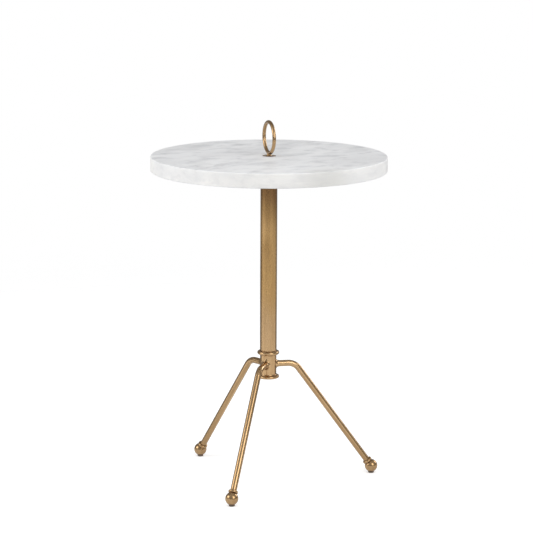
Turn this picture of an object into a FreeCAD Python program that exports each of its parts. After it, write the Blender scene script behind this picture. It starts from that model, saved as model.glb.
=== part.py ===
import FreeCAD, Part
import math
import os
import re
from enum import IntEnum
import Sketcher

# Side table: a round stone slab on a brass column, carried by three bent legs with ball feet.
# A wire ring above the slab screws down through it into the column and clamps it there.
# Frame: millimetres, +Z up, origin on the floor under the column, one leg along +X.

# Driving dimensions in millimetres and degrees: name, value, what it is.
DIMENSIONS = [
    ("top_diameter", 406.0, "stone slab, across"),
    ("top_thickness", 25.0, "stone slab, thickness"),
    ("top_height", 570.0, "upper face of the slab above the floor"),
    ("edge_round", 1.6, "rounding of the slab's two rims"),
    ("stone_clearance", 1.5, "gap around the stud in the slab"),
    ("recess_depth", 2.0, "recess in the slab for the ring's disc"),
    ("recess_clearance", 0.5, "gap around the disc in its recess"),
    ("ring_diameter", 53.0, "ring, across the centre line of its wire"),
    ("ring_wire", 6.2, "ring, wire diameter"),
    ("ring_angle", 8.0, "direction of the ring's axis from +X"),
    ("ring_lift", 1.8, "lowest point of the ring above the disc"),
    ("saddle_depth", 3.2, "depth of the ring in its boss"),
    ("boss_diameter", 7.6, "ring boss, across its top"),
    ("boss_flare", 0.9, "ring boss, extra radius at the disc"),
    ("disc_diameter", 23.0, "ring disc, across"),
    ("disc_thickness", 1.6, "ring disc, thickness"),
    ("disc_chamfer", 0.3, "ring disc, bevel of its upper rim"),
    ("gasket_thickness", 0.6, "felt under the disc, thickness"),
    ("gasket_inset", 0.8, "felt rim inside the disc rim"),
    ("stud_diameter", 8.0, "stud, across its thread"),
    ("thread_depth", 0.7, "stud, thread depth above the relieved neck"),
    ("neck_play", 0.4, "relieved neck below the felt"),
    ("thread_engagement", 12.5, "stud thread held in the top plug"),
    ("running_clearance", 0.05, "radial gap of the turning fits"),
    ("fit_clearance", 0.05, "radial gap of the brazed and pressed fits"),
    ("plate_diameter", 150.0, "support plate, across"),
    ("plate_thickness", 4.0, "support plate, thickness"),
    ("plate_chamfer", 1.0, "support plate, bevel of its lower rim"),
    ("plate_clearance", 1.0, "gap around the stud in the plate"),
    ("bumper_diameter", 16.0, "rubber pad on the plate, across"),
    ("bumper_thickness", 2.0, "rubber pad on the plate, thickness"),
    ("bumper_margin", 5.0, "rubber pad to plate rim"),
    ("column_diameter", 29.0, "column tube, outside"),
    ("column_wall", 2.0, "column tube, wall"),
    ("plug_margin", 14.0, "plug length beyond its thread"),
    ("plug_chamfer", 1.0, "bevel of a plug's ends"),
    ("collar_height", 6.4, "bead at the foot of the column, height"),
    ("collar_projection", 4.6, "bead at the foot of the column, beyond the tube"),
    ("hub_step", 0.3, "hub wall inside the column's outside"),
    ("hub_rise", 17.4, "hub top above the arms"),
    ("hub_drop", 24.6, "hub base below the arms"),
    ("hub_foot_height", 5.4, "bead at the hub's base, height"),
    ("hub_foot_projection", 5.0, "bead at the hub's base, beyond the hub wall"),
    ("flare_reach", 5.4, "leg boss beyond the hub wall"),
    ("flare_rise", 3.0, "leg boss, extra radius at the hub wall"),
    ("flare_wall", 0.4, "leg boss, wall at its mouth"),
    ("root_wall", 2.5, "metal between the bolt hole and a leg socket"),
    ("bolt_diameter", 10.0, "hub bolt, shank"),
    ("bolt_chamfer", 1.0, "hub bolt, bevel of its tip"),
    ("bolt_clearance", 0.5, "radial gap around the hub bolt"),
    ("bolt_engagement", 18.0, "hub bolt thread held in the bottom plug"),
    ("head_diameter", 16.0, "hub bolt, head"),
    ("head_height", 10.0, "hub bolt, head height"),
    ("head_recess", 1.0, "hub bolt head above the hub's base"),
    ("key_width", 8.0, "hub bolt, hexagon across flats"),
    ("key_depth", 5.0, "hub bolt, hexagon depth"),
    ("washer_margin", 0.8, "flat washer beyond the bolt head"),
    ("washer_thickness", 1.6, "flat washer, thickness"),
    ("lock_thickness", 2.2, "lock washer, thickness"),
    ("lock_split", 1.5, "lock washer, width of its split"),
    ("pocket_clearance", 0.6, "gap around the washer in the hub"),
    ("leg_diameter", 11.0, "leg rod"),
    ("arm_height", 205.0, "centre line of the level arms above the floor"),
    ("arm_reach", 34.8, "start of the leg bend from the table axis"),
    ("bend_radius", 24.0, "leg bend, centre line"),
    ("foot_circle", 372.0, "circle through the ball centres"),
    ("ball_diameter", 22.5, "ball foot"),
    ("ball_socket_floor", 3.0, "end of the leg short of the ball centre"),
    ("neck_seat", 12.8, "flat on the ball under its collar, across"),
    ("foot_collar_height", 5.4, "foot collar along the leg"),
    ("foot_collar_diameter", 16.9, "foot collar, across"),
    ("foot_collar_wall", 0.7, "foot collar, wall at its ends"),
    ("pad_seat", 9.6, "flat on the ball over its pad, across"),
    ("pad_diameter", 10.6, "floor pad, across"),
    ("pad_thickness", 2.8, "floor pad, thickness below the ball"),
    ("pad_round", 0.9, "floor pad, rounding of its lower rim"),
    ("peg_diameter", 4.0, "floor pad, peg in the ball"),
    ("peg_length", 3.6, "floor pad, length of its peg"),
]

BUMPER_COUNT = 4
LEG_NAMES = ["right", "rear", "front"]
LEG_STEP = 360 / len(LEG_NAMES)


class Point(IntEnum):
    """Which point of a sketch element a constraint takes."""

    START = 1
    END = 2
    CENTRE = 3


class Axis(IntEnum):
    """The axes of any sketch, as elements that a constraint takes."""

    HORIZONTAL = -1
    VERTICAL = -2


ORIGIN = (Axis.HORIZONTAL, Point.START)

doc = FreeCAD.newDocument("side_table")
dims = doc.addObject("Spreadsheet::Sheet", "dims")
for row, (alias, value, note) in enumerate(DIMENSIONS, start=1):
    dims.set(f"A{row}", note)
    dims.set(f"B{row}", str(value))
    dims.setAlias(f"B{row}", alias)
doc.recompute()

# Formulas that several pieces share.
COLUMN_R = "column_diameter / 2"
TUBE_BORE_R = f"({COLUMN_R} - column_wall)"
PLUG_R = f"({TUBE_BORE_R} - fit_clearance)"
HUB_R = f"({COLUMN_R} - hub_step)"
HUB_TOP = "(arm_height + hub_rise)"
SLAB_BASE = "(top_height - top_thickness)"
PLATE_BASE = f"({SLAB_BASE} - bumper_thickness - plate_thickness)"
RECESS_FLOOR = "(top_height - recess_depth)"
DISC_TOP = f"({RECESS_FLOOR} + gasket_thickness + disc_thickness)"
NECK_R = "(stud_diameter / 2 - thread_depth)"
RING_CENTRE = "(ring_lift + ring_wire / 2 + ring_diameter / 2)"
BOLT_HOLE_R = "(bolt_diameter / 2 + bolt_clearance)"
WASHER_R = "(head_diameter / 2 + washer_margin)"
POCKET_DEPTH = "(head_recess + head_height + lock_thickness + washer_thickness)"
LEG_ROOT = f"({BOLT_HOLE_R} + root_wall)"
SOCKET_R = "(leg_diameter / 2 + fit_clearance)"
FLARE_TIP_R = f"({SOCKET_R} + flare_wall)"
PAD_SEAT_DROP = "sqrt((ball_diameter / 2) ^ 2 - (pad_seat / 2) ^ 2)"
NECK_SEAT_RISE = "sqrt((ball_diameter / 2) ^ 2 - (neck_seat / 2) ^ 2)"
BALL_CENTRE = f"(pad_thickness + {PAD_SEAT_DROP})"

# The straight part of a leg is the tangent from the ball centre to the bend.
SPAN = "(foot_circle / 2 - arm_reach)"
FALL = f"({BALL_CENTRE} - arm_height + bend_radius)"
LEG_SLOPE = f"(atan2({SPAN}; {FALL}) - acos(bend_radius / sqrt({SPAN} ^ 2 + {FALL} ^ 2)))"


def bound(formula):
    """The formula with every sheet name written as a reference to the sheet."""
    return re.sub(r"\b[a-z]+(?:_[a-z]+)+\b", r"dims.\g<0>", formula)


def number(formula):
    """The formula's present value."""
    result = dims.evalExpression(bound(formula))
    return float(getattr(result, "Value", result))


def place(piece, x="0", y="0", z="0", yaw="0", pitch="0"):
    """Bind a piece's placement: a base point, a turn about Z and then a tilt about its own Y."""
    formula = f"placement(vector({x}; {y}; {z}); rotation({yaw}; {pitch}; 0))"
    piece.setExpression("Placement", bound(formula))


def new_body(name):
    body = doc.addObject("PartDesign::Body", name)
    body.Label = name
    return body


def new_sketch(body, name, plane):
    sketch = body.newObject("Sketcher::SketchObject", name)
    support = next(item for item in body.Origin.OriginFeatures if item.Role == plane)
    sketch.AttachmentSupport = (support, [""])
    sketch.MapMode = "FlatFace"
    return sketch


def pin(sketch, element, end, x=None, y=None):
    """Hold one point of a sketch element at formulas measured from the sketch's origin."""
    for kind, formula, axis in (("DistanceX", x, Axis.VERTICAL), ("DistanceY", y, Axis.HORIZONTAL)):
        if formula is None:
            continue
        value = number(formula)
        if abs(value) < 1e-9:
            sketch.addConstraint(Sketcher.Constraint("PointOnObject", element, end, axis))
            continue
        if value > 0:
            ends = ORIGIN + (element, end)
            signed = formula
        else:
            ends = (element, end) + ORIGIN
            signed = f"-({formula})"
        index = sketch.addConstraint(Sketcher.Constraint(kind, *ends, abs(value)))
        sketch.setExpression(f"Constraints[{index}]", bound(signed))


def arc_centre(first, last, axis, known):
    """Centre of the arc through two points, from the one coordinate that is known."""
    other = 1 - axis
    half = (last[0] ** 2 - first[0] ** 2 + last[1] ** 2 - first[1] ** 2) / 2
    rest = (half - known * (last[axis] - first[axis])) / (last[other] - first[other])
    return (known, rest) if axis == 0 else (rest, known)


def draw(sketch, outline, closed=True):
    """Draw an outline of lines and arcs.

    Each corner is (x, y), or (x, y, turn, axis, formula) where an arc runs on to the next corner:
    turn is "left" or "right", and the arc's centre has the formula as its x or y.
    """
    points = [(number(corner[0]), number(corner[1])) for corner in outline]
    count = len(outline) if closed else len(outline) - 1
    ends = []
    for index in range(count):
        corner = outline[index]
        first = points[index]
        last = points[(index + 1) % len(points)]
        if len(corner) == 2:
            line = Part.LineSegment(FreeCAD.Vector(*first, 0), FreeCAD.Vector(*last, 0))
            sketch.addGeometry(line, False)
            ends.append((Point.START, Point.END))
            continue
        turn, axis, formula = corner[2:]
        centre = arc_centre(first, last, "xy".index(axis), number(formula))
        near, far = (first, last) if turn == "left" else (last, first)
        low = math.atan2(near[1] - centre[1], near[0] - centre[0])
        high = math.atan2(far[1] - centre[1], far[0] - centre[0])
        high = high if high > low else high + 2 * math.pi
        circle = Part.Circle(FreeCAD.Vector(*centre, 0), FreeCAD.Vector(0, 0, 1), math.dist(centre, first))
        sketch.addGeometry(Part.ArcOfCircle(circle, low, high), False)
        pin(sketch, index, Point.CENTRE, **{axis: formula})
        ends.append((Point.START, Point.END) if turn == "left" else (Point.END, Point.START))
    for index in range(count):
        pin(sketch, index, ends[index][0], *outline[index][:2])
        following = (index + 1) % count
        if closed or following:
            joint = (index, ends[index][1], following, ends[following][0])
            sketch.addConstraint(Sketcher.Constraint("Coincident", *joint))
    if not closed:
        pin(sketch, count - 1, ends[-1][1], *outline[-1][:2])


def draw_circles(sketch, *radii):
    """Circles about the sketch's origin."""
    for index, formula in enumerate(radii):
        radius = number(formula)
        sketch.addGeometry(Part.Circle(FreeCAD.Vector(), FreeCAD.Vector(0, 0, 1), radius), False)
        sketch.addConstraint(Sketcher.Constraint("Coincident", index, Point.CENTRE, *ORIGIN))
        bond = sketch.addConstraint(Sketcher.Constraint("Radius", index, radius))
        sketch.setExpression(f"Constraints[{bond}]", bound(formula))


def turn_about(body, kind, name, outline, axis="V_Axis"):
    """A full Revolution or Groove of an outline in the body's XZ plane."""
    sketch = new_sketch(body, f"{name}_outline", "XZ_Plane")
    draw(sketch, outline)
    feature = body.newObject(kind, name)
    feature.Profile = sketch
    feature.ReferenceAxis = (sketch, [axis])
    feature.Angle = 360
    return feature


def turned(name, outline):
    """A body turned about its own Z axis."""
    body = new_body(name)
    turn_about(body, "PartDesign::Revolution", f"{name}_turning", outline)
    return body


def flat_ring(name, outer, inner, thickness):
    """A body cut from sheet: a ring that stands on its own XY plane."""
    body = new_body(name)
    sketch = new_sketch(body, f"{name}_outline", "XY_Plane")
    draw_circles(sketch, outer, inner)
    pad = body.newObject("PartDesign::Pad", f"{name}_pad")
    pad.Profile = sketch
    pad.setExpression("Length", bound(thickness))
    return body


def make_marble_top():
    rim = "top_diameter / 2"
    hole = "stud_diameter / 2 + stone_clearance"
    recess = "disc_diameter / 2 + recess_clearance"
    body = turned("marble_top", [
        (hole, "0"),
        (f"{rim} - edge_round", "0", "left", "x", f"{rim} - edge_round"),
        (rim, "edge_round"),
        (rim, "top_thickness - edge_round", "left", "x", f"{rim} - edge_round"),
        (f"{rim} - edge_round", "top_thickness"),
        (recess, "top_thickness"),
        (recess, "top_thickness - recess_depth"),
        (hole, "top_thickness - recess_depth"),
    ])
    place(body, z=SLAB_BASE)
    return body


def make_ring_handle():
    ring = doc.addObject("Part::Torus", "ring_handle")
    ring.setExpression("Radius1", bound("ring_diameter / 2"))
    ring.setExpression("Radius2", bound("ring_wire / 2"))
    place(ring, z=f"{DISC_TOP} + {RING_CENTRE}", yaw="ring_angle", pitch="90")
    return ring


def make_ring_stud():
    """Boss on the disc, relieved neck through it and thread down to the top plug."""
    neck_end = "-(disc_thickness + gasket_thickness + neck_play)"
    thread_end = f"{PLATE_BASE} - thread_engagement - {DISC_TOP}"
    body = turned("ring_stud", [
        ("0", thread_end),
        ("stud_diameter / 2 - thread_depth", thread_end),
        ("stud_diameter / 2", f"{thread_end} + thread_depth"),
        ("stud_diameter / 2", neck_end),
        (NECK_R, neck_end),
        (NECK_R, "0"),
        ("boss_diameter / 2 + boss_flare", "0"),
        ("boss_diameter / 2", "ring_lift + saddle_depth"),
        ("0", "ring_lift + saddle_depth"),
    ])
    saddle = new_sketch(body, "saddle_outline", "XZ_Plane")
    wire_r = "ring_wire / 2 + fit_clearance"
    wire_z = "ring_lift + ring_wire / 2"
    wire = Part.Circle(FreeCAD.Vector(0, number(wire_z), 0), FreeCAD.Vector(0, 0, 1), number(wire_r))
    saddle.addGeometry(wire, False)
    pin(saddle, 0, Point.CENTRE, "0", wire_z)
    bond = saddle.addConstraint(Sketcher.Constraint("Radius", 0, number(wire_r)))
    saddle.setExpression(f"Constraints[{bond}]", bound(wire_r))
    height = number(RING_CENTRE)
    axis_line = Part.LineSegment(FreeCAD.Vector(0, height, 0), FreeCAD.Vector(height, height, 0))
    saddle.addGeometry(axis_line, True)
    pin(saddle, 1, Point.START, "0", RING_CENTRE)
    pin(saddle, 1, Point.END, RING_CENTRE, RING_CENTRE)
    groove = body.newObject("PartDesign::Groove", "saddle")
    groove.Profile = saddle
    groove.ReferenceAxis = (saddle, ["Axis0"])
    groove.Angle = 360
    place(body, z=DISC_TOP, yaw="ring_angle")
    return body


def make_ring_disc():
    bore = f"{NECK_R} + running_clearance"
    body = turned("ring_disc", [
        (bore, "0"),
        ("disc_diameter / 2", "0"),
        ("disc_diameter / 2", "disc_thickness - disc_chamfer"),
        ("disc_diameter / 2 - disc_chamfer", "disc_thickness"),
        (bore, "disc_thickness"),
    ])
    place(body, z=f"{RECESS_FLOOR} + gasket_thickness")
    return body


def make_disc_gasket():
    bore = f"{NECK_R} + neck_play"
    body = flat_ring("disc_gasket", "disc_diameter / 2 - gasket_inset", bore, "gasket_thickness")
    place(body, z=RECESS_FLOOR)
    return body


def make_top_plate():
    hole = "stud_diameter / 2 + plate_clearance"
    body = flat_ring("top_plate", "plate_diameter / 2", hole, "plate_thickness")
    doc.recompute()
    blank = body.Tip
    rim = [
        f"Edge{index}"
        for index, edge in enumerate(blank.Shape.Edges, start=1)
        if edge.BoundBox.ZMax < 1e-6 and edge.BoundBox.XLength > number("plate_diameter / 2")
    ]
    bevel = body.newObject("PartDesign::Chamfer", "plate_bevel")
    bevel.Base = (blank, rim)
    bevel.setExpression("Size", bound("plate_chamfer"))
    place(body, z=PLATE_BASE)
    return body


def make_plate_pads():
    """Rubber pads between the plate and the slab, spaced around the plate's rim."""
    circle = "(plate_diameter / 2 - bumper_margin - bumper_diameter / 2)"
    pads = []
    for index in range(BUMPER_COUNT):
        pad = doc.addObject("Part::Cylinder", f"plate_pad_{index}")
        pad.setExpression("Radius", bound("bumper_diameter / 2"))
        pad.setExpression("Height", bound("bumper_thickness"))
        angle = 360 * (index + 0.5) / BUMPER_COUNT
        place(pad, x=f"{circle} * cos({angle})", y=f"{circle} * sin({angle})")
        pads.append(pad)
    group = doc.addObject("Part::Compound", "plate_pads")
    group.Links = pads
    place(group, z=f"{SLAB_BASE} - bumper_thickness")
    return group


def make_plug(name, bore, length, base):
    """A bored plug, bevelled at both ends, pressed into an end of the tube."""
    body = turned(name, [
        (bore, "0"),
        (f"{PLUG_R} - plug_chamfer", "0"),
        (PLUG_R, "plug_chamfer"),
        (PLUG_R, f"{length} - plug_chamfer"),
        (f"{PLUG_R} - plug_chamfer", length),
        (bore, length),
    ])
    place(body, z=base)
    return body


def make_column_plugs():
    top_length = "(thread_engagement + plug_margin)"
    top_bore = "stud_diameter / 2 + running_clearance"
    top = make_plug("column_top_plug", top_bore, top_length, f"{PLATE_BASE} - {top_length}")
    base_length = "(bolt_engagement + plug_margin)"
    base_bore = "bolt_diameter / 2 + fit_clearance"
    base = make_plug("column_bottom_plug", base_bore, base_length, HUB_TOP)
    return [top, base]


def make_column_tube():
    body = flat_ring("column_tube", COLUMN_R, TUBE_BORE_R, f"{PLATE_BASE} - {HUB_TOP}")
    place(body, z=HUB_TOP)
    return body


def make_column_collar():
    """Half-round bead around the foot of the tube."""
    bore = f"{COLUMN_R} + fit_clearance"
    bead = f"{COLUMN_R} + collar_projection - collar_height / 2"
    body = turned("column_collar", [
        (bore, "0"),
        (bead, "0", "left", "x", bead),
        (bead, "collar_height"),
        (bore, "collar_height"),
    ])
    place(body, z=HUB_TOP)
    return body


def make_hub_body():
    """Hub with a moulded foot, three flared leg bosses with sockets and a stepped bolt hole."""
    body = new_body("hub_body")
    base = "-hub_drop"
    bead = f"{HUB_R} + hub_foot_projection - hub_foot_height / 2"
    bead_top = "hub_foot_height - hub_drop"
    turn_about(body, "PartDesign::Revolution", "hub_turning", [
        ("0", base),
        (bead, base, "left", "x", bead),
        (bead, bead_top, "right", "x", bead),
        (HUB_R, f"{bead_top} + hub_foot_projection - hub_foot_height / 2"),
        (HUB_R, "hub_rise"),
        ("0", "hub_rise"),
    ])
    flare_root = f"{FLARE_TIP_R} + flare_rise"
    mouth = f"{HUB_R} + flare_reach"
    boss = turn_about(body, "PartDesign::Revolution", "leg_boss", [
        (LEG_ROOT, "0"),
        (mouth, "0"),
        (mouth, FLARE_TIP_R, "right", "x", mouth),
        (HUB_R, flare_root),
        (LEG_ROOT, flare_root),
    ], axis="H_Axis")
    socket = turn_about(body, "PartDesign::Groove", "leg_socket", [
        (LEG_ROOT, "0"),
        (f"{mouth} + flare_wall", "0"),
        (f"{mouth} + flare_wall", SOCKET_R),
        (LEG_ROOT, SOCKET_R),
    ], axis="H_Axis")
    pattern = body.newObject("PartDesign::PolarPattern", "leg_bosses")
    pattern.Originals = [boss, socket]
    z_axis = next(item for item in body.Origin.OriginFeatures if item.Role == "Z_Axis")
    pattern.Axis = (z_axis, [""])
    pattern.Angle = 360
    pattern.Occurrences = len(LEG_NAMES)
    body.Tip = pattern
    pocket_r = f"{WASHER_R} + pocket_clearance"
    turn_about(body, "PartDesign::Groove", "bolt_hole", [
        ("0", base),
        (pocket_r, base),
        (pocket_r, f"{POCKET_DEPTH} - hub_drop"),
        (BOLT_HOLE_R, f"{POCKET_DEPTH} - hub_drop"),
        (BOLT_HOLE_R, "hub_rise"),
        ("0", "hub_rise"),
    ])
    place(body, z="arm_height")
    return body


def make_hub_bolt():
    """Socket-head bolt, drawn head up and turned over into the hub from below."""
    length = f"(hub_drop + hub_rise - {POCKET_DEPTH} + lock_thickness + washer_thickness + bolt_engagement)"
    tip = "bolt_diameter / 2 - bolt_chamfer"
    body = turned("hub_bolt", [
        ("0", f"-{length}"),
        (tip, f"-{length}"),
        ("bolt_diameter / 2", f"bolt_chamfer - {length}"),
        ("bolt_diameter / 2", "0"),
        ("head_diameter / 2", "0"),
        ("head_diameter / 2", "head_height"),
        ("0", "head_height"),
    ])
    hexagon = new_sketch(body, "key_outline", "XY_Plane")
    hexagon.setExpression("AttachmentOffset.Base.z", bound("head_height"))
    corners = [30 + 60 * index for index in range(6)]
    reach = "key_width / sqrt(3)"
    draw(hexagon, [(f"{reach} * cos({angle})", f"{reach} * sin({angle})") for angle in corners])
    key = body.newObject("PartDesign::Pocket", "key_socket")
    key.Profile = hexagon
    key.setExpression("Length", bound("key_depth"))
    place(body, z="arm_height - hub_drop + head_recess + head_height", pitch="180")
    return body


def make_hub_washers():
    bore = BOLT_HOLE_R
    flat = flat_ring("hub_washer", WASHER_R, bore, "washer_thickness")
    place(flat, z=f"arm_height - hub_drop + {POCKET_DEPTH} - washer_thickness")
    lock = flat_ring("hub_lock_washer", "head_diameter / 2", bore, "lock_thickness")
    slot = new_sketch(lock, "split_outline", "XY_Plane")
    inner = "bolt_diameter / 2"
    draw(slot, [
        (inner, "-lock_split / 2"),
        ("head_diameter", "-lock_split / 2"),
        ("head_diameter", "lock_split / 2"),
        (inner, "lock_split / 2"),
    ])
    split = lock.newObject("PartDesign::Pocket", "split")
    split.Profile = slot
    split.Reversed = True
    split.Type = "ThroughAll"
    place(lock, z=f"arm_height - hub_drop + {POCKET_DEPTH} - washer_thickness - lock_thickness")
    return [flat, lock]


def make_leg(side, angle):
    """Rod from its hub socket, level, round the bend and straight down into the ball."""
    name = f"leg_{side}"
    body = new_body(name)
    route = new_sketch(body, f"{name}_route", "XZ_Plane")
    foot_x = f"foot_circle / 2 - ball_socket_floor * cos({LEG_SLOPE})"
    foot_z = f"{BALL_CENTRE} - arm_height + ball_socket_floor * sin({LEG_SLOPE})"
    draw(route, [
        (LEG_ROOT, "0"),
        ("arm_reach", "0", "right", "x", "arm_reach"),
        (f"arm_reach + bend_radius * sin({LEG_SLOPE})", f"bend_radius * cos({LEG_SLOPE}) - bend_radius"),
        (foot_x, foot_z),
    ], closed=False)
    section = new_sketch(body, f"{name}_section", "YZ_Plane")
    section.setExpression("AttachmentOffset.Base.z", bound(LEG_ROOT))
    draw_circles(section, "leg_diameter / 2")
    doc.recompute()
    rod = body.newObject("PartDesign::AdditivePipe", f"{name}_rod")
    rod.Profile = section
    rod.Spine = (route, ["Edge1", "Edge2", "Edge3"])
    place(body, z="arm_height", yaw=str(angle))
    return body


def at_foot(piece, angle, pitch="0"):
    """Place a piece at a ball centre, tilted in the plane of that leg."""
    x = f"foot_circle / 2 * cos({angle})"
    y = f"foot_circle / 2 * sin({angle})"
    place(piece, x=x, y=y, z=BALL_CENTRE, yaw=str(angle), pitch=pitch)


def make_foot_collar(side, angle):
    """Rounded bead on the leg, seated on the flat of the ball."""
    wall = f"{SOCKET_R} + foot_collar_wall"
    bulge = f"(foot_collar_diameter / 2 - ({wall}))"
    bead_centre = f"foot_collar_diameter / 2 - ((foot_collar_height / 2) ^ 2 + {bulge} ^ 2) / (2 * {bulge})"
    top = f"{NECK_SEAT_RISE} + foot_collar_height"
    body = turned(f"foot_collar_{side}", [
        (SOCKET_R, NECK_SEAT_RISE),
        (wall, NECK_SEAT_RISE, "left", "x", bead_centre),
        (wall, top),
        (SOCKET_R, top),
    ])
    at_foot(body, angle, pitch=f"{LEG_SLOPE} - 90 deg")
    return body


def make_ball_foot(side, angle):
    """Ball with a flat and a blind socket towards the leg, and a flat and a peg hole underneath."""
    name = f"ball_foot_{side}"
    tilt = f"{LEG_SLOPE} - 90 deg"
    ball = doc.addObject("Part::Sphere", f"{name}_ball")
    ball.setExpression("Radius", bound("ball_diameter / 2"))
    ball.setExpression("Angle2", bound("acos(neck_seat / ball_diameter)"))
    place(ball, pitch=tilt)
    socket = doc.addObject("Part::Cylinder", f"{name}_socket")
    socket.setExpression("Radius", bound(SOCKET_R))
    socket.setExpression("Height", bound("ball_diameter"))
    place(
        socket,
        x=f"-ball_socket_floor * cos({LEG_SLOPE})",
        z=f"ball_socket_floor * sin({LEG_SLOPE})",
        pitch=tilt,
    )
    under = doc.addObject("Part::Cylinder", f"{name}_under")
    under.setExpression("Radius", bound("ball_diameter"))
    under.setExpression("Height", bound("ball_diameter"))
    place(under, z=f"-{PAD_SEAT_DROP} - ball_diameter")
    peg_hole = doc.addObject("Part::Cylinder", f"{name}_peg_hole")
    peg_hole.setExpression("Radius", bound("peg_diameter / 2 + fit_clearance"))
    peg_hole.setExpression("Height", bound("ball_diameter + peg_length"))
    place(peg_hole, z=f"-{PAD_SEAT_DROP} - ball_diameter")
    cutters = doc.addObject("Part::MultiFuse", f"{name}_cutters")
    cutters.Shapes = [socket, under, peg_hole]
    foot = doc.addObject("Part::Cut", name)
    foot.Base = ball
    foot.Tool = cutters
    at_foot(foot, angle)
    return foot


def make_foot_pad(side, angle):
    """Rubber pad under the ball, with a peg that pushes into it."""
    base = f"-({BALL_CENTRE})"
    seat = f"-{PAD_SEAT_DROP}"
    rim = "pad_diameter / 2"
    body = turned(f"foot_pad_{side}", [
        ("0", base),
        (f"{rim} - pad_round", base, "left", "x", f"{rim} - pad_round"),
        (rim, f"{base} + pad_round"),
        (rim, seat),
        ("peg_diameter / 2", seat),
        ("peg_diameter / 2", f"{seat} + peg_length"),
        ("0", f"{seat} + peg_length"),
    ])
    at_foot(body, angle)
    return body


parts = [
    make_marble_top(),
    make_ring_handle(),
    make_ring_stud(),
    make_ring_disc(),
    make_disc_gasket(),
    make_top_plate(),
    make_plate_pads(),
    *make_column_plugs(),
    make_column_tube(),
    make_column_collar(),
    make_hub_body(),
    make_hub_bolt(),
    *make_hub_washers(),
]
for leg, side in enumerate(LEG_NAMES):
    parts.append(make_leg(side, leg * LEG_STEP))
    parts.append(make_foot_collar(side, leg * LEG_STEP))
    parts.append(make_ball_foot(side, leg * LEG_STEP))
    parts.append(make_foot_pad(side, leg * LEG_STEP))
doc.recompute()

failed = [item.Label for item in doc.Objects if {"Invalid", "Error"} & set(item.State)]
if failed:
    raise RuntimeError(f"objects that did not rebuild: {failed}")
unsound = [part.Label for part in parts if part.Shape.isNull() or not part.Shape.isValid()]
if unsound:
    raise RuntimeError(f"pieces without a sound shape: {unsound}")

os.makedirs("parts", exist_ok=True)
for part in parts:
    part.Shape.exportStep(f"parts/{part.Label}.step")
    solids = len(part.Shape.Solids)
    print(f"{part.Label}: {solids} solid(s), {part.Shape.Volume:.1f} mm3")
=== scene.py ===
import math

import bpy
from mathutils import Matrix, Vector


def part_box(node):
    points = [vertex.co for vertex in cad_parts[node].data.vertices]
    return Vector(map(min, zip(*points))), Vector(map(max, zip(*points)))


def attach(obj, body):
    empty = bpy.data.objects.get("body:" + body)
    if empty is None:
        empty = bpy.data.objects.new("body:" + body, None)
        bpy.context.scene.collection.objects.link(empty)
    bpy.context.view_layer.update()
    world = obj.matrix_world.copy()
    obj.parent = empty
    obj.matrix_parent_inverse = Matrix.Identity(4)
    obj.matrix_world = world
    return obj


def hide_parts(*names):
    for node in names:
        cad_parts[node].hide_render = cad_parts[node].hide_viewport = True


# Looks of the side table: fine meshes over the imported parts, procedural finishes, studio and camera.
# Frame: metres, +Z up, origin on the floor under the column, one leg along +X.
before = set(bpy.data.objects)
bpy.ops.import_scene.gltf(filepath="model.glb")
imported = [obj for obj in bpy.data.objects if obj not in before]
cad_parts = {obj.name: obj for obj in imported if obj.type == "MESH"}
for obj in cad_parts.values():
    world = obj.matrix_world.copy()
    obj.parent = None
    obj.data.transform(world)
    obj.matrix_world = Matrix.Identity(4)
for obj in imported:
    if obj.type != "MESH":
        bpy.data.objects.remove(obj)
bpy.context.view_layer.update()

MM = 0.001
LEG_SIDES = ("right", "rear", "front")
LEG_STEP = 2 * math.pi / len(LEG_SIDES)

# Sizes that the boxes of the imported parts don't give.
STONE_ROUND = 1.6 * MM
RECESS_GAP = 0.5 * MM
RECESS_DEPTH = 2.0 * MM
STUD_GAP = 1.5 * MM
RING_WIRE_R = 3.1 * MM
RING_ANGLE = math.radians(8)
DISC_ROUND = 0.5 * MM
BOSS_R = 3.8 * MM
BOSS_FLARE = 0.9 * MM
BOSS_WAIST_HEIGHT = 1.6 * MM
BOSS_WAIST_ROUND = 2.0 * MM
BOSS_TOP_ROUND = 1.2 * MM
SADDLE_DEPTH = 3.2 * MM
STUD_R = 4.0 * MM
NECK_BELOW_DISC = 1.0 * MM
THREAD_DEPTH = 0.7 * MM
THREAD_PITCH = 1.25 * MM
THREAD_SLOPE = 2.6
THREAD_ROOT = 0.15
COLUMN_WALL = 2.0 * MM
HUB_R = 14.2 * MM
ARM_ABOVE_HUB_BASE = 24.6 * MM
HUB_FOOT_HEIGHT = 5.4 * MM
HUB_FOOT_PROJECTION = 5.0 * MM
BOLT_HOLE_R = 5.5 * MM
POCKET_R = 9.4 * MM
POCKET_DEPTH = 14.8 * MM
FLARE_ROOT_R = 9.2 * MM
FLARE_REACH = 5.4 * MM
FLARE_LIP = 0.18 * MM
FLARE_ROOT_PULL = 1.0
FLARE_LIP_PULL = 1.3
LEG_R = 5.5 * MM
LEG_ROOT = 8.0 * MM
ARM_REACH = 34.8 * MM
BEND_R = 24.0 * MM
LEG_DEPTH_IN_BALL = 3.0 * MM
FIT_GAP = 0.05 * MM
FOOT_COLLAR_R = 8.45 * MM
FOOT_COLLAR_HEIGHT = 5.4 * MM
FOOT_COLLAR_ROUND = 0.98 * FOOT_COLLAR_HEIGHT / 2
NECK_SEAT_R = 6.4 * MM
BALL_SEAT_SHARE = 0.97
PAD_ROUND = 0.9 * MM
PAD_TOP_ROUND = 0.4 * MM
FINE_ROUND = 0.25 * MM
EDGE_BREAK = 0.1 * MM

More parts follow.
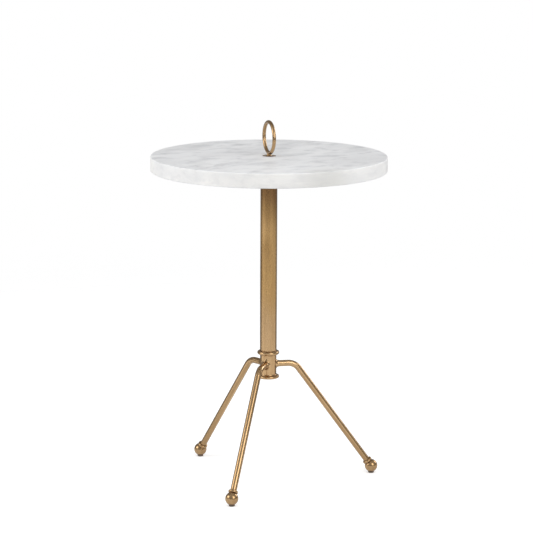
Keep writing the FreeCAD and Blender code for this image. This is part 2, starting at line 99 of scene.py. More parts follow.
# Heights over which the column's brass turns yellow and then darkens brown with painted shade under the top,
# how dark, and how the two slant.
COLUMN_YELLOW = (0.27, 0.34)
COLUMN_PAINTED_SHADE = (0.455, 0.515)
PAINTED_SHADE_SHARE = 0.77
COLUMN_SLANT = (0.735, -0.145, 1.0)

# A lighter place on the column, on the camera's left.
LIGHTER_PATCH_PLACE = (-0.0143, -0.0023, 0.441)
LIGHTER_PATCH_REACH = 36 * MM

# Direction of the stone's veins in the top, how far its pattern is drawn out, and how much it sways.
VEIN_ANGLE = math.radians(26)
VEIN_STRETCH = (1.7, 1.0, 0.6)
VEIN_SWAY = (0.05, 0.05, 0.05)

# A grey cloud in the stone, near the edge on the camera's right.
CLOUD_PLACE = (0.059, -0.194, 0.545)
CLOUD_REACH = 70 * MM

# Fineness of the meshes.
ARC_STEP = math.radians(9)
SLAB_SEGMENTS = 256
TURNED_SEGMENTS = 96
SMALL_SEGMENTS = 64
ROD_SEGMENTS = 40
THREAD_STEPS = 10
FLARE_STEPS = 12
BEND_STEPS = 20
ARM_SHARES = (0.0, 0.5)
SHANK_SHARES = (0.25, 0.5, 0.75, 1.0)
SAME_POINT = 1e-7


def across(node):
    """Lowest and highest level of a turned node on the table axis, and its radius."""
    low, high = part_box(node)
    return low.z, high.z, (high.x - low.x) / 2


# Outlines: points (r, z) with their outward normals, run with the solid on the left.
def arc(centre_r, centre_z, radius, start, end):
    """Arc of an outline between two angles in degrees, swelling outwards."""
    first = math.radians(start)
    sweep = math.radians(end) - first
    steps = max(2, math.ceil(abs(sweep) / ARC_STEP))
    points = []
    for step in range(steps + 1):
        angle = first + sweep * step / steps
        normal = (math.cos(angle), math.sin(angle))
        points.append((centre_r + radius * normal[0], centre_z + radius * normal[1], *normal))
    return points


def rounded(corners, closed=False):
    """Outline through corners (r, z, radius), each turned into an arc that both its sides run into."""
    outline = []
    count = len(corners)
    for index, (r, z, radius) in enumerate(corners):
        here = Vector((r, z))
        after = Vector(corners[(index + 1) % count][:2]) - here
        before = here - Vector(corners[index - 1][:2])
        if not closed and index == 0:
            before = after
        if not closed and index == count - 1:
            after = before
        before.normalize()
        after.normalize()
        turn = math.atan2(before.cross(after), before.dot(after))
        side = 1 if turn > 0 else -1
        start = here - before * radius * math.tan(abs(turn) / 2)
        centre = start + Vector((-before.y, before.x)) * radius * side
        steps = max(1, math.ceil(abs(turn) / ARC_STEP))
        for step in range(steps + 1):
            angle = turn * step / steps
            along = Matrix.Rotation(angle, 2) @ before
            normal = Vector((along.y, -along.x))
            point = centre + normal * radius * side
            if outline and (Vector(outline[-1][:2]) - point).length < SAME_POINT:
                continue
            outline.append((point.x, point.y, normal.x, normal.y))
    return outline


# Meshes: rings of points, each point (place, normal, grain), joined into a skin.
def skin(name, rings, closed=False):
    """Mesh object through the rings: one point makes a pole, and a closed skin ends where it starts."""
    places = []
    normals = []
    grain = []
    starts = []
    for ring in rings:
        starts.append(len(places))
        for place, normal, coordinate in ring:
            places.append(place)
            normals.append(normal)
            grain.extend(coordinate)
    faces = []
    pairs = list(zip(range(len(rings)), range(1, len(rings))))
    if closed:
        pairs.append((len(rings) - 1, 0))
    for low, high in pairs:
        count = max(len(rings[low]), len(rings[high]))
        for index in range(count):
            following = (index + 1) % count
            corners = []
            for level, step in ((low, index), (low, following), (high, following), (high, index)):
                corner = starts[level] + (step if len(rings[level]) > 1 else 0)
                if corner not in corners:
                    corners.append(corner)
            faces.append(corners)
    mesh = bpy.data.meshes.new(name)
    mesh.from_pydata(places, [], faces)
    mesh.attributes.new("grain", "FLOAT_VECTOR", "POINT").data.foreach_set("vector", grain)
    mesh.shade_smooth()
    if None not in normals:
        mesh.normals_split_custom_set_from_vertices(normals)
    made = bpy.data.objects.new(name, mesh)
    bpy.context.scene.collection.objects.link(made)
    return made


def turned_rings(outline, segments, seat=Matrix.Identity(4)):
    """Rings of an outline turned about the Z axis of its seat."""
    rings = []
    length = 0.0
    for index, (r, z, normal_r, normal_z) in enumerate(outline):
        if index:
            length += math.dist(outline[index - 1][:2], (r, z))
        count = segments if r > SAME_POINT else 1
        ring = []
        for segment in range(count):
            angle = 2 * math.pi * segment / segments
            spoke = Vector((math.cos(angle), math.sin(angle), 0))
            out = spoke * normal_r if count > 1 else Vector()
            normal = seat.to_3x3() @ (out + Vector((0, 0, normal_z)))
            side = spoke * r
            place = seat @ (side + Vector((0, 0, z)))
            ring.append((place, normal.normalized(), (side.x, side.y, length)))
        rings.append(ring)
    return rings


def lathe(name, outline, segments=TURNED_SEGMENTS, seat=Matrix.Identity(4), closed=False):
    return skin(name, turned_rings(outline, segments, seat), closed)


def swept_rings(route, radius, sideways):
    """Rings of a rod along a flat route of (point, direction); sideways is square to its plane."""
    rings = []
    length = 0.0
    for index, (point, direction) in enumerate(route):
        if index:
            length += (point - route[index - 1][0]).length
        upward = direction.cross(sideways)
        ring = []
        for segment in range(ROD_SEGMENTS):
            angle = 2 * math.pi * segment / ROD_SEGMENTS
            spoke = sideways * math.cos(angle) + upward * math.sin(angle)
            coordinate = (radius * math.cos(angle), radius * math.sin(angle), length)
            ring.append((point + spoke * radius, spoke, coordinate))
        rings.append(ring)
    return rings


def finished(made, body, material, slot, *nodes):
    """Give a piece its body, finish and the nodes that it stands for."""
    made.data.materials.append(material)
    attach(made, body)
    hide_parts(*nodes)


# Materials.
def node(tree, kind, inputs=None, output=0, **settings):
    """Add a shader node, set or link its inputs and return one of its outputs."""
    made = tree.nodes.new(kind)
    for key, value in settings.items():
        setattr(made, key, value)
    for key, value in (inputs or {}).items():
        if isinstance(value, bpy.types.NodeSocket):
            tree.links.new(value, made.inputs[key])
        else:
            made.inputs[key].default_value = value
    return made.outputs[output]


def new_material(name):
    material = bpy.data.materials.new(name)
    material.use_nodes = True
    tree = material.node_tree
    return material, tree, tree.nodes["Principled BSDF"]


def scaled(tree, vector, scale):
    return node(tree, "ShaderNodeMapping", {"Vector": vector, "Scale": scale})


def noise(tree, vector, scale=1.0, detail=3.0, roughness=0.5):
    inputs = {"Vector": vector, "Scale": scale, "Detail": detail, "Roughness": roughness}
    return node(tree, "ShaderNodeTexNoise", inputs)


def ranged(tree, value, low, high, to_low=0.0, to_high=1.0):
    """The value mapped smoothly from one range to another."""
    inputs = {"Value": value, "From Min": low, "From Max": high, "To Min": to_low, "To Max": to_high}
    return node(tree, "ShaderNodeMapRange", inputs, interpolation_type="SMOOTHSTEP")


def maths(tree, operation, first, second=0.0):
    return node(tree, "ShaderNodeMath", {0: first, 1: second}, operation=operation)


def measured(tree, operation, first, second):
    """A number out of two vectors, such as their distance."""
    return node(tree, "ShaderNodeVectorMath", {0: first, 1: second}, output="Value", operation=operation)


def mixed(tree, factor, first, second):
    """Colour between two colours or colour sockets."""
    inputs = {"Factor": factor, "A": first, "B": second}
    return node(tree, "ShaderNodeMix", inputs, output="Result", data_type="RGBA")


def colour(red, green, blue):
    return (red, green, blue, 1.0)


# Tones of the finishes. A pair is what a finish wavers between.
BRASS_TONES = (colour(0.50, 0.33, 0.171), colour(0.41, 0.26, 0.125))
YELLOW_TONES = (colour(0.50, 0.310, 0.126), colour(0.41, 0.244, 0.092))
LIGHTER_PATCH_TONE = colour(0.61, 0.385, 0.165)
# Painted shade: the column's brown under the top.
PAINTED_SHADE_TONE = colour(0.19, 0.092, 0.036)
# Patina and painted shade in the crevices and between parts.
PATINA_AND_SHADE = colour(0.17, 0.075, 0.028)
# The top's tones are cooler and the rim's warmer: painted tint of the light falling on each.
STONE_TOP_COOL_LIT = (colour(0.885, 0.893, 0.902), colour(0.925, 0.932, 0.940))
STONE_RIM_WARM_LIT = (colour(0.895, 0.890, 0.872), colour(0.935, 0.930, 0.910))
STONE_DRIFT = colour(0.75, 0.755, 0.765)
STONE_CLOUD = colour(0.72, 0.718, 0.695)
STONE_WISP = colour(0.60, 0.607, 0.625)
STONE_VEIN = colour(0.52, 0.525, 0.54)
RUBBER_TONES = (colour(0.155, 0.120, 0.088), colour(0.205, 0.162, 0.120))
STEEL_TONES = (colour(0.50, 0.50, 0.50), colour(0.60, 0.60, 0.61))
PAINT_TONES = (colour(0.028, 0.028, 0.03), colour(0.04, 0.04, 0.042))
FELT_TONES = (colour(0.05, 0.045, 0.04), colour(0.08, 0.072, 0.065))

# The brass: scales of its cloudy tone and rubbing marks across and along the grain, least and greatest
# roughness, and how far a crevice darkens with patina and painted shade.
BRASS_CLOUDS = (75.0, 75.0, 9.0)
BRASS_STREAKS = (700.0, 700.0, 25.0)
BRASS_ROUGH = (0.20, 0.27)
COLUMN_ROUGH = (0.24, 0.31)
CREVICE_REACH = 6 * MM


def column_tone(tree, cloudy, tone):
    """The column's brass: yellower higher up, lighter in one place, and darkened brown under the top with
    painted shade.
    """
    place = node(tree, "ShaderNodeTexCoord", output="Object")
    height = measured(tree, "DOT_PRODUCT", place, COLUMN_SLANT)
    yellow = mixed(tree, cloudy, *YELLOW_TONES)
    tone = mixed(tree, ranged(tree, height, *COLUMN_YELLOW), tone, yellow)
    reach = measured(tree, "DISTANCE", place, LIGHTER_PATCH_PLACE)
    tone = mixed(tree, ranged(tree, reach, LIGHTER_PATCH_REACH, 0.0), tone, LIGHTER_PATCH_TONE)
    # Painted shade: the column darkens brown under the top.
    painted_shade = ranged(tree, height, *COLUMN_PAINTED_SHADE, 0.0, PAINTED_SHADE_SHARE)
    return mixed(tree, painted_shade, tone, PAINTED_SHADE_TONE)


def brass_material(name, column=False, patina_and_shade=1.0):
    """Satin antique brass: lengthwise rubbing, cloudy tone and a share of patina and painted shade in the
    crevices.
    """
    material, tree, shader = new_material(name)
    grain = node(tree, "ShaderNodeAttribute", attribute_name="grain", output="Vector")
    clouds = noise(tree, scaled(tree, grain, BRASS_CLOUDS), detail=4.0, roughness=0.55)
    streaks = noise(tree, scaled(tree, grain, BRASS_STREAKS), roughness=0.6)
    # Crevices and joints darken by ambient occlusion: patina and painted shade.
    around = {"Distance": CREVICE_REACH}
    open_air = node(tree, "ShaderNodeAmbientOcclusion", around, output="AO", samples=8)
    crevice_patina_and_shade = ranged(tree, open_air, 0.90, 0.42, 0.0, patina_and_shade)
    cloudy = ranged(tree, clouds, 0.35, 0.7)
    tone = mixed(tree, cloudy, *BRASS_TONES)
    if column:
        tone = column_tone(tree, cloudy, tone)
    tone = mixed(tree, crevice_patina_and_shade, tone, PATINA_AND_SHADE)
    rough = COLUMN_ROUGH if column else BRASS_ROUGH
    rubbed = ranged(tree, streaks, 0.3, 0.7, *rough)
    relief = node(tree, "ShaderNodeBump", {"Height": streaks, "Strength": 0.02, "Distance": 0.1 * MM})
    tree.links.new(tone, shader.inputs["Base Color"])
    tree.links.new(rubbed, shader.inputs["Roughness"])
    tree.links.new(relief, shader.inputs["Normal"])
    shader.inputs["Metallic"].default_value = 1.0
    shader.inputs["Coat Weight"].default_value = 0.25
    shader.inputs["Coat Roughness"].default_value = 0.14
    return material


def marble_material():
    """Honed white marble: drifting grey cloud, wisps and veins that run one way, fine crystal grain."""
    material, tree, shader = new_material("marble")
    place = node(tree, "ShaderNodeTexCoord", output="Object")
    along = node(
        tree,
        "ShaderNodeMapping",
        {"Vector": place, "Rotation": (0, 0, VEIN_ANGLE), "Scale": VEIN_STRETCH},
        vector_type="TEXTURE",
    )
    ripple = {"Vector": along, "Scale": 14.0, "Detail": 4.0}
    sway = node(tree, "ShaderNodeTexNoise", ripple, output="Color")
    swayed = {0: sway, 1: VEIN_SWAY, 2: along}
    bent = node(tree, "ShaderNodeVectorMath", swayed, operation="MULTIPLY_ADD")
    broad = ranged(tree, noise(tree, bent, scale=12.0, detail=4.0), 0.36, 0.70)
    wisps = ranged(tree, noise(tree, bent, scale=38.0, detail=6.0, roughness=0.62), 0.44, 0.72)
    waves = noise(tree, bent, scale=13.0, detail=4.0)
    ridge = maths(tree, "ABSOLUTE", maths(tree, "SUBTRACT", waves, 0.5))
    vein = ranged(tree, ridge, 0.03, 0.0)
    fade = ranged(tree, noise(tree, along, scale=8.0, detail=2.0), 0.48, 0.70, 0.0, 0.5)
    crystal = noise(tree, place, scale=1500.0, detail=2.0)
    normal = node(tree, "ShaderNodeNewGeometry", output="Normal")
    facing = node(tree, "ShaderNodeSeparateXYZ", {0: normal}, "Z")
    level = ranged(tree, maths(tree, "ABSOLUTE", facing), 0.2, 0.8)
    # Cooler top and warmer rim, chosen by how the surface faces: painted tint of the light.
    face = mixed(tree, crystal, *STONE_TOP_COOL_LIT)
    edge = mixed(tree, crystal, *STONE_RIM_WARM_LIT)
    near = ranged(tree, measured(tree, "DISTANCE", place, CLOUD_PLACE), CLOUD_REACH, 0.0)
    cloud = maths(tree, "MULTIPLY", near, ranged(tree, broad, 0.0, 0.6, 0.5, 1.0))
    tone = mixed(tree, level, edge, face)
    tone = mixed(tree, maths(tree, "MULTIPLY", broad, 0.7), tone, STONE_DRIFT)
    tone = mixed(tree, cloud, tone, STONE_CLOUD)
    wisps = maths(tree, "MULTIPLY", wisps, ranged(tree, level, 0.0, 1.0, 0.3, 0.8))
    tone = mixed(tree, wisps, tone, STONE_WISP)
    fade = maths(tree, "MULTIPLY", fade, ranged(tree, level, 0.0, 1.0, 0.3, 1.0))
    tone = mixed(tree, maths(tree, "MULTIPLY", vein, fade), tone, STONE_VEIN)
    tree.links.new(tone, shader.inputs["Base Color"])
    tree.links.new(ranged(tree, crystal, 0.3, 0.7, 0.36, 0.46), shader.inputs["Roughness"])
    shader.inputs["Subsurface Weight"].default_value = 0.15
    shader.inputs["Subsurface Radius"].default_value = (1.0, 0.95, 0.9)
    shader.inputs["Subsurface Scale"].default_value = 3 * MM
    return material


def plain_material(name, tones, rough, grain_scale, bump, metallic=0.0):
    """A finish with fine unevenness, for the parts that hardly show."""
    material, tree, shader = new_material(name)
    place = node(tree, "ShaderNodeTexCoord", output="Object")
    fine = noise(tree, place, grain_scale, detail=4.0, roughness=0.6)
    broad = noise(tree, place, grain_scale / 12)
    tone = mixed(tree, ranged(tree, broad, 0.35, 0.65), *tones)
    height = node(tree, "ShaderNodeBump", {"Height": fine, "Strength": bump, "Distance": 0.2 * MM})
    tree.links.new(tone, shader.inputs["Base Color"])
    tree.links.new(ranged(tree, fine, 0.3, 0.7, rough - 0.06, rough + 0.06), shader.inputs["Roughness"])
    tree.links.new(height, shader.inputs["Normal"])
    shader.inputs["Metallic"].default_value = metallic
    return material


BRASS = brass_material("brass")
COLUMN_BRASS = brass_material("column_brass", column=True)
STUD_BRASS = brass_material("stud_brass", patina_and_shade=0.1)
MARBLE = marble_material()
RUBBER = plain_material("rubber", RUBBER_TONES, rough=0.62, grain_scale=900.0, bump=0.25)
STEEL = plain_material("steel", STEEL_TONES, rough=0.34, grain_scale=700.0, bump=0.08, metallic=1.0)
PAINT = plain_material("black_paint", PAINT_TONES, rough=0.42, grain_scale=500.0, bump=0.12)
FELT = plain_material("felt", FELT_TONES, rough=0.92, grain_scale=1600.0, bump=0.5)


# Pieces.
def make_slab():
    """Stone top with eased rims, the recess of the disc and the hole for the stud."""
    base, top, radius = across("marble_top")
    disc_r = across("ring_disc")[2]
    hole = STUD_R + STUD_GAP
    recess = disc_r + RECESS_GAP
    floor = top - RECESS_DEPTH
    outline = rounded([
        (hole, base, FINE_ROUND),
        (radius, base, STONE_ROUND),
        (radius, top, STONE_ROUND),
        (recess, top, FINE_ROUND),
        (recess, floor, FINE_ROUND),
        (hole, floor, FINE_ROUND),
    ], closed=True)
    made = lathe("marble_slab", outline, SLAB_SEGMENTS, closed=True)
    finished(made, "stand", MARBLE, "marble", "marble_top")


def make_ring():
    """Upright wire ring."""
    low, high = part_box("ring_handle")
    centre = (low + high) / 2
    radius = (high.z - low.z) / 2 - RING_WIRE_R
    axis = Vector((math.cos(RING_ANGLE), math.sin(RING_ANGLE), 0))
    level = Vector((-axis.y, axis.x, 0))
    route = []
    for step in range(TURNED_SEGMENTS):
        angle = 2 * math.pi * step / TURNED_SEGMENTS
        spoke = level * math.cos(angle) + Vector((0, 0, math.sin(angle)))
        route.append((centre + spoke * radius, axis.cross(spoke)))
    made = skin("ring_wire", swept_rings(route, RING_WIRE_R, axis), closed=True)
    finished(made, "ring_screw", BRASS, "brass", "ring_handle")


def make_stud():
    """Boss under the ring, relieved neck and threaded shank."""
    base = across("ring_stud")[0]
    disc_base, disc_top, _ = across("ring_disc")
    wire_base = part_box("ring_handle")[0].z
    boss_top = wire_base + SADDLE_DEPTH
    neck_r = STUD_R - THREAD_DEPTH
    neck_base = disc_base - NECK_BELOW_DISC
    upper = rounded([
        (STUD_R, neck_base, FINE_ROUND),
        (neck_r, neck_base, FINE_ROUND),
        (neck_r, disc_top, FINE_ROUND),
        (BOSS_R + BOSS_FLARE, disc_top, FINE_ROUND),
        (BOSS_R, disc_top + BOSS_WAIST_HEIGHT, BOSS_WAIST_ROUND),
        (BOSS_R, boss_top, BOSS_TOP_ROUND),
        (0, boss_top, 0),
    ])
    upper[0] = (STUD_R, neck_base - FINE_ROUND, 1, 0)
    rings = [[(Vector((0, 0, base)), Vector((0, 0, -1)), (0, 0, 0))]]
    levels = math.floor((neck_base - 2 * FINE_ROUND - base) / THREAD_PITCH * THREAD_STEPS)
    for level in range(levels):
        z = base + THREAD_PITCH * level / THREAD_STEPS
        lead = min(1.0, level / THREAD_STEPS)
        ring = []
        for segment in range(SMALL_SEGMENTS):
            share = segment / SMALL_SEGMENTS
            phase = (level / THREAD_STEPS - share) % 1.0
            crest = min(1.0, max(0.0, THREAD_SLOPE * abs(phase - 0.5) - THREAD_ROOT))
            r = neck_r + THREAD_DEPTH * crest * lead
            spoke = Vector((math.cos(2 * math.pi * share), math.sin(2 * math.pi * share), 0))
            place = spoke * r + Vector((0, 0, z))
            ring.append((place, spoke, tuple(place)))
        rings.append(ring)
    rings += turned_rings(upper, SMALL_SEGMENTS)
    made = skin("ring_stud_screw", rings)
    finished(made, "ring_screw", STUD_BRASS, "brass", "ring_stud")


def make_disc():
    """Thin disc under the ring."""
    base, top, radius = across("ring_disc")
    bore = STUD_R - THREAD_DEPTH + FIT_GAP
    outline = rounded([
        (bore, base, EDGE_BREAK),
        (radius, base, EDGE_BREAK),
        (radius, top, DISC_ROUND),
        (bore, top, EDGE_BREAK),
    ], closed=True)
    made = lathe("ring_base_disc", outline, closed=True)
    finished(made, "ring_washer", BRASS, "brass", "ring_disc")


def make_column():
    """Round tube between the hub and the top."""
    base, top, radius = across("column_tube")
    outline = rounded([
        (radius - COLUMN_WALL, base, FINE_ROUND),
        (radius, base, FINE_ROUND),
        (radius, top, FINE_ROUND),
        (radius - COLUMN_WALL, top, FINE_ROUND),
    ], closed=True)
    made = lathe("column", outline, closed=True)
    finished(made, "stand", COLUMN_BRASS, "brass", "column_tube")


def make_column_bead():
    """Half-round bead at the foot of the column."""
    base, top, radius = across("column_collar")
    bore = across("column_tube")[2] + FIT_GAP
    half = (top - base) / 2
    outline = rounded([
        (bore, base, EDGE_BREAK),
        (radius, base, half),
        (radius, top, half),
        (bore, top, EDGE_BREAK),
    ], closed=True)
    made = lathe("column_bead", outline, closed=True)
    finished(made, "stand", BRASS, "brass", "column_collar")


def flare_rings(angle, arm_height):
    """Closed skin of one leg boss: a trumpet that leaves the hub wall and runs out along the leg."""
    turn = Matrix.Rotation(angle, 4, "Z")
    lip_x = HUB_R + FLARE_REACH
    lip_r = LEG_R + FLARE_LIP
    core_r = LEG_R - FLARE_LIP
    core_x = HUB_R - FLARE_REACH
    rows = []
    for step in range(FLARE_STEPS + 1):
        rows.append(("skin", step / FLARE_STEPS))
    rows += [("lip", 0), ("core", 0), ("root", 0)]
    rings = []
    for kind, share in rows:
        ring = []
        for segment in range(SMALL_SEGMENTS):
            around = 2 * math.pi * segment / SMALL_SEGMENTS
            spoke = Vector((0, math.cos(around), math.sin(around)))
            root = spoke * FLARE_ROOT_R
            root.x = math.sqrt(HUB_R ** 2 - root.y ** 2)
            wall = Vector((root.x, root.y, 0)).normalized()
            inward = -spoke + wall * spoke.dot(wall)
            inward.normalize()
            lip = spoke * lip_r + Vector((lip_x, 0, 0))
            reach = (lip - root).length
            if kind == "skin":
                start = root - wall * FIT_GAP
                point = (
                    start * (1 - share) ** 2 * (1 + 2 * share)
                    + inward * reach * FLARE_ROOT_PULL * share * (1 - share) ** 2
                    + lip * share ** 2 * (3 - 2 * share)
                    - Vector((1, 0, 0)) * reach * FLARE_LIP_PULL * share ** 2 * (1 - share)
                )
            elif kind == "lip":
                point = spoke * core_r + Vector((lip_x + FLARE_LIP, 0, 0))
            elif kind == "core":
                point = spoke * core_r + Vector((core_x, 0, 0))
            else:
                point = spoke * FLARE_ROOT_R + Vector((core_x, 0, 0))
            coordinate = (point.y, point.z, point.x)
            ring.append((turn @ point + Vector((0, 0, arm_height)), None, coordinate))
        rings.append(ring)
    return rings


def make_hub():
    """Hub with its moulded foot, the bolt pocket underneath and three flared leg bosses."""
    base, top, _ = across("hub_body")
    foot_r = HUB_R + HUB_FOOT_PROJECTION
    half = HUB_FOOT_HEIGHT / 2
    cove = foot_r - half - HUB_R
    outline = rounded([
        (POCKET_R, base, FINE_ROUND),
        (foot_r, base, half),
        (foot_r, base + HUB_FOOT_HEIGHT, half),
        (HUB_R, base + HUB_FOOT_HEIGHT, cove),
        (HUB_R, top, FINE_ROUND),
        (BOLT_HOLE_R, top, FINE_ROUND),
        (BOLT_HOLE_R, base + POCKET_DEPTH, FINE_ROUND),
        (POCKET_R, base + POCKET_DEPTH, FINE_ROUND),
    ], closed=True)
    hub = lathe("hub", outline, closed=True)
    finished(hub, "stand", BRASS, "brass", "hub_body")
    for index, side in enumerate(LEG_SIDES):
        rings = flare_rings(index * LEG_STEP, base + ARM_ABOVE_HUB_BASE)
        flare = skin(f"leg_boss_{side}", rings, closed=True)
        finished(flare, "stand", BRASS, "brass", "hub_body")


def leg_line():
    """Ball centre of a leg in its own plane, and how steeply the leg comes down to it."""
    low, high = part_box("ball_foot_right")
    reach = (low.x + high.x) / 2
    ball_r = (high.y - low.y) / 2
    height = high.z - ball_r
    arm_height = across("hub_body")[0] + ARM_ABOVE_HUB_BASE
    span = reach - ARM_REACH
    fall = height - arm_height + BEND_R
    slope = math.atan2(span, fall) - math.acos(BEND_R / math.hypot(span, fall))
    return reach, height, ball_r, arm_height, slope


def leg_route(reach, height, arm_height, slope, angle):
    """Centre line of a leg: level out of the hub, round the bend and straight down into the ball."""
    outward = Vector((math.cos(angle), math.sin(angle), 0))
    upward = Vector((0, 0, 1))
    down = outward * math.cos(slope) - upward * math.sin(slope)
    bend = outward * ARM_REACH + upward * (arm_height - BEND_R)
    route = []
    for share in ARM_SHARES:
        distance = LEG_ROOT + (ARM_REACH - LEG_ROOT) * share
        route.append((outward * distance + upward * arm_height, outward))
    for step in range(BEND_STEPS + 1):
        part = slope * step / BEND_STEPS
        spoke = outward * math.sin(part) + upward * math.cos(part)
        along = outward * math.cos(part) - upward * math.sin(part)
        route.append((bend + spoke * BEND_R, along))
    bend_end = route[-1][0]
    foot = outward * reach + upward * height - down * LEG_DEPTH_IN_BALL
    for share in SHANK_SHARES:
        route.append((bend_end.lerp(foot, share), down))
    return route


def make_leg(side, angle):
    """Bent rod with the bead, the ball and the pad at its foot."""
    reach, height, ball_r, arm_height, slope = leg_line()
    route = leg_route(reach, height, arm_height, slope, angle)
    sideways = Vector((-math.sin(angle), math.cos(angle), 0))
    rings = swept_rings(route, LEG_R, sideways)
    for end, way in ((0, -1), (-1, 1)):
        point, direction = route[end]
        cap = [(point, direction * way, rings[end][0][2])]
        rings = [cap] + rings if end == 0 else rings + [cap]
    rod = skin(f"leg_rod_{side}", rings)
    finished(rod, "stand", BRASS, "brass", f"leg_{side}")

    outward = Vector((math.cos(angle), math.sin(angle), 0))
    centre = outward * reach + Vector((0, 0, height))
    tilt = slope - math.pi / 2
    foot_seat = Matrix.Translation(centre)
    leg_seat = foot_seat @ Matrix.Rotation(angle, 4, "Z") @ Matrix.Rotation(tilt, 4, "Y")
    bore = LEG_R + FIT_GAP
    bead_base = math.sqrt(ball_r ** 2 - NECK_SEAT_R ** 2)
    bead_top = bead_base + FOOT_COLLAR_HEIGHT
    outline = rounded([
        (bore, bead_base, EDGE_BREAK),
        (FOOT_COLLAR_R, bead_base, FOOT_COLLAR_ROUND),
        (FOOT_COLLAR_R, bead_top, FOOT_COLLAR_ROUND),
        (bore, bead_top, EDGE_BREAK),
    ], closed=True)
    collar = lathe(f"foot_bead_{side}", outline, SMALL_SEGMENTS, leg_seat, closed=True)
    finished(collar, "stand", BRASS, "brass", f"foot_collar_{side}")

    seat_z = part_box(f"ball_foot_{side}")[0].z - height
    seat_r = math.sqrt(ball_r ** 2 - seat_z ** 2)
    lowest = math.degrees(math.atan2(seat_z, seat_r))
    outline = [(0, seat_z, 0, -1), (seat_r * BALL_SEAT_SHARE, seat_z, 0, -1)]
    outline += arc(0, 0, ball_r, lowest, 90)
    ball = lathe(f"ball_{side}", outline, SMALL_SEGMENTS, foot_seat)
    finished(ball, "stand", BRASS, "brass", f"ball_foot_{side}")

    pad_low, pad_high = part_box(f"foot_pad_{side}")
    pad_r = (pad_high.y - pad_low.y) / 2
    outline = rounded([
        (0, -height, 0),
        (pad_r, -height, PAD_ROUND),
        (pad_r, seat_z, PAD_TOP_ROUND),
        (0, seat_z, 0),
    ])
    pad = lathe(f"floor_pad_{side}", outline, SMALL_SEGMENTS, foot_seat)
    finished(pad, "stand", RUBBER, "rubber", f"foot_pad_{side}")


def dress_nodes():
    """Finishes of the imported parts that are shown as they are."""
    finishes = {
        "disc_gasket": FELT,
        "top_plate": PAINT,
        "plate_pads": RUBBER,
        "column_top_plug": STEEL,
        "column_bottom_plug": STEEL,
        "hub_bolt": STEEL,
        "hub_washer": STEEL,
        "hub_lock_washer": STEEL,
    }
    for name, material in finishes.items():
        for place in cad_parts[name].material_slots:
            place.material = material


make_slab()
make_ring()
make_stud()
make_disc()
make_column()
make_column_bead()
make_hub()
for number, leg_side in enumerate(LEG_SIDES):
    make_leg(leg_side, number * LEG_STEP)
dress_nodes()

# Camera, fitted to the photo: where it stands and where it points, in the table's frame.
PHOTO_WIDTH = 533
FOCAL_PIXELS = 2421.2
CAMERA_DISTANCE = 4.1022
CAMERA_HEIGHT = 1.1688
CAMERA_AZIMUTH = math.radians(-11.06)
CAMERA_PAN = math.radians(-0.051)
CAMERA_PITCH = math.radians(10.925)
CAMERA_ROLL = math.radians(0.229)
SENSOR_WIDTH = 36.0
VIEW_TURN = Matrix.Rotation(CAMERA_AZIMUTH, 3, "Z")


def seen_from_camera(sideways, elevation, distance):
    """A place around the table, by its angle to the camera's right and above the floor in degrees."""
    side = math.radians(sideways)
    rise = math.radians(elevation)
    place = Vector((math.sin(side) * math.cos(rise), -math.cos(side) * math.cos(rise), math.sin(rise)))
    return VIEW_TURN @ place * distance


def make_camera():
    """Camera in the photo's place, turned by its pan, pitch and roll."""
    data = bpy.data.cameras.new("camera")
    data.sensor_width = SENSOR_WIDTH
    data.lens = FOCAL_PIXELS / PHOTO_WIDTH * SENSOR_WIDTH
    camera = bpy.data.objects.new("camera", data)
    bpy.context.scene.collection.objects.link(camera)
    ahead = Vector((
        math.sin(CAMERA_PAN) * math.cos(CAMERA_PITCH),
        math.cos(CAMERA_PAN) * math.cos(CAMERA_PITCH),
        -math.sin(CAMERA_PITCH),
    ))
    right = Vector((math.cos(CAMERA_PAN), -math.sin(CAMERA_PAN), 0))
    up = right.cross(ahead)
    rolled_right = right * math.cos(CAMERA_ROLL) + up * math.sin(CAMERA_ROLL)
    rolled_up = up * math.cos(CAMERA_ROLL) - right * math.sin(CAMERA_ROLL)
    axes = Matrix((rolled_right, rolled_up, -ahead)).transposed()
    place = Vector((0, -CAMERA_DISTANCE, CAMERA_HEIGHT))
    camera.matrix_world = Matrix.Translation(VIEW_TURN @ place) @ (VIEW_TURN @ axes).to_4x4()
    bpy.context.scene.camera = camera


# Studio. A card's stations are a distance from the table, a height and how much the card covers there.
TABLE_MIDDLE = Vector((0, 0, 0.4))
PLAIN_WHITE = (1.0, 1.0, 1.0)
WARM_WHITE = (1.0, 0.98, 0.95)
WORLD_SEEN = colour(1.0, 1.0, 1.0)
WORLD_LIGHT = colour(0.435, 0.44, 0.45)
FLOOR_R = 2.4
FLOOR_FADE = (FLOOR_R * 0.3, FLOOR_R * 0.95)
FLOOR_TONE = colour(0.8, 0.8, 0.8)
FLOOR_GLOW = 0.43
CARD_STEPS = 36
CARD_SOFT_STEPS = 3
CARD_LIFT = 3 * MM
FLOOR_SHADOW_LIFT = 0.5 * MM
FRONT_TONE = colour(0.20, 0.19, 0.18)
BACK_TONE = colour(0.30, 0.29, 0.28)
CAMERA_TONE = colour(0.25, 0.24, 0.23)
FLOOR_SHADOW_TONE = colour(0.25, 0.24, 0.22)
LIT_TONE = colour(2.0, 1.95, 1.85)
FRONT_CARD = [
    (1.2, MM, 0.0),
    (1.9, MM, 0.26),
    (2.4, MM, 0.0),
    (2.8, MM, 0.05),
    (3.2, MM, 0.85),
    (3.3, 0.6, 0.88),
    (3.3, 1.2, 0.74),
    (3.3, 2.5, 0.72),
    (3.3, 3.3, 0.75),
    (1.9, 3.4, 0.45),
    (1.0, 3.5, 0.75),
    (0.0, 3.6, 0.9),
]
